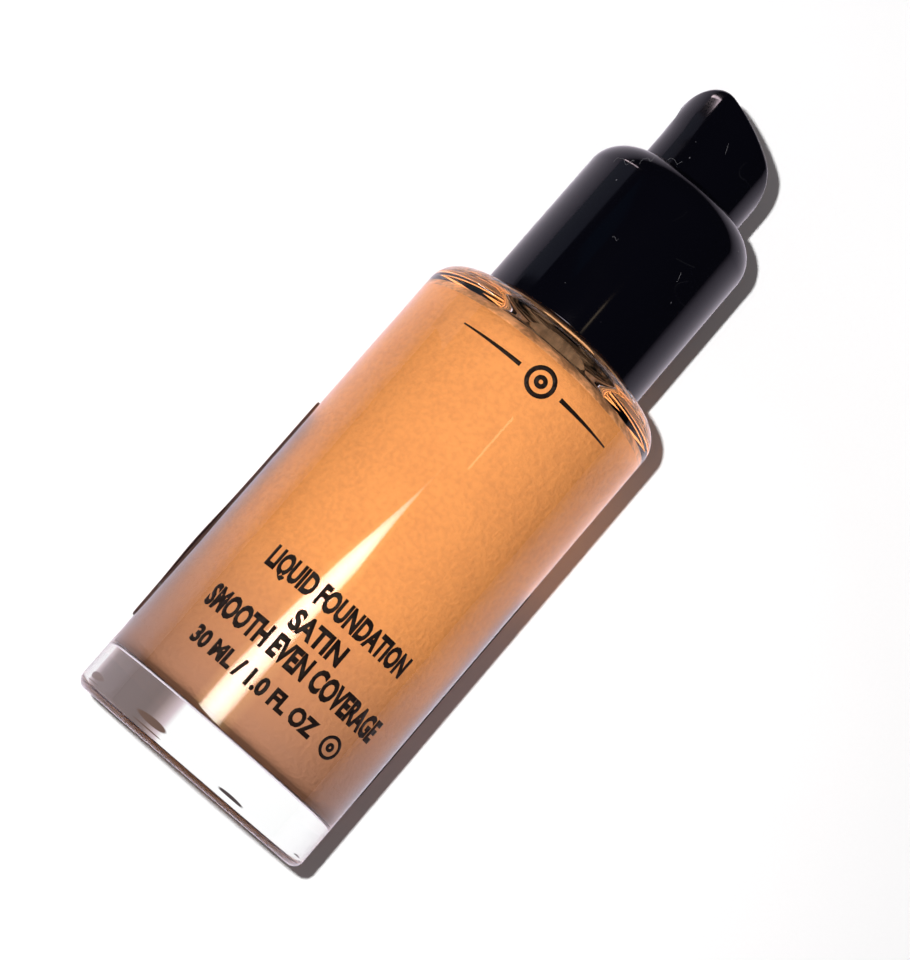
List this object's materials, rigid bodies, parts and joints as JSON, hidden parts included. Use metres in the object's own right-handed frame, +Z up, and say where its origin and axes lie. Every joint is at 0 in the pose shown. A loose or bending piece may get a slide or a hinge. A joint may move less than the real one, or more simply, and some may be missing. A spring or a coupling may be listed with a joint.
{
  "type": "foundation bottle with treatment pump",
  "caption": "Clear glass foundation bottle with a thick base, tan liquid and a rear peel label, closed by a black domed screw collar with a slant-topped push pump.",
  "frame": {"origin": "centre of the bottle's base, on the surface that it stands on", "axes": "+Z up along the bottle's axis; the front print faces -Y; the pump's nozzle points to -X at rest"},
  "size_m": [0.0342, 0.0335, 0.1016],
  "materials": {
    "clear_glass": "polished clear flint glass with a fire-polished shoulder and a thick clear base",
    "foundation": "opaque warm beige liquid, wetting the glass",
    "label_film": "satin dark brown printed film",
    "soft_seal": "matte pale sealing foam and soft polyethylene",
    "natural_plastic": "unpigmented translucent polypropylene",
    "steel": "bright stainless spring wire and ball",
    "black_gloss": "high-gloss black moulded plastic with fine dust and hairline scratches"
  },
  "bodies": {
    "bottle": {"glass_bottle": "clear_glass", "foundation_fluid": "foundation", "rear_label": "label_film", "label_leaf": "label_film"},
    "pump": {"pump_housing": "natural_plastic", "neck_gasket": "soft_seal", "dip_tube": "natural_plastic", "ball_retainer": "natural_plastic", "retaining_ring": "natural_plastic", "stem_seal": "soft_seal", "return_spring": "steel"},
    "ball": {"inlet_ball": "steel"},
    "closure": {"screw_closure": "black_gloss", "collar_shell": "black_gloss"},
    "plunger": {"stem": "natural_plastic", "piston": "soft_seal", "stem_plug": "natural_plastic"},
    "head": {"head_shell": "black_gloss", "head_core": "natural_plastic", "nozzle_insert": "black_gloss"}
  },
  "joints": [
    {"name": "pump_rise", "type": "slide", "parent": "bottle", "child": "pump", "axis": [0, 0, 1], "range_m": [0, 0.00397]},
    {"name": "closure_twist", "type": "hinge", "parent": "pump", "child": "closure", "pos_m": [0, 0, 0.0735], "axis": [0, 0, 1], "range_deg": [0, 450]},
    {"name": "head_press", "type": "slide", "parent": "pump", "child": "plunger", "axis": [0, 0, -1], "range_m": [0, 0.0045], "stiffness_N_per_m": 900, "springref_m": -0.0045, "deforming": ["return_spring"]},
    {"name": "head_swivel", "type": "hinge", "parent": "plunger", "child": "head", "pos_m": [0, 0, 0.0945], "axis": [0, 0, 1], "continuous": true},
    {"name": "ball_lift", "type": "slide", "parent": "pump", "child": "ball", "axis": [0, 0, 1], "range_m": [0, 0.0014]}
  ],
  "couplings": [
    {"joint": "closure_twist", "follows": "pump_rise", "rad_per_m": 1979}
  ]
}
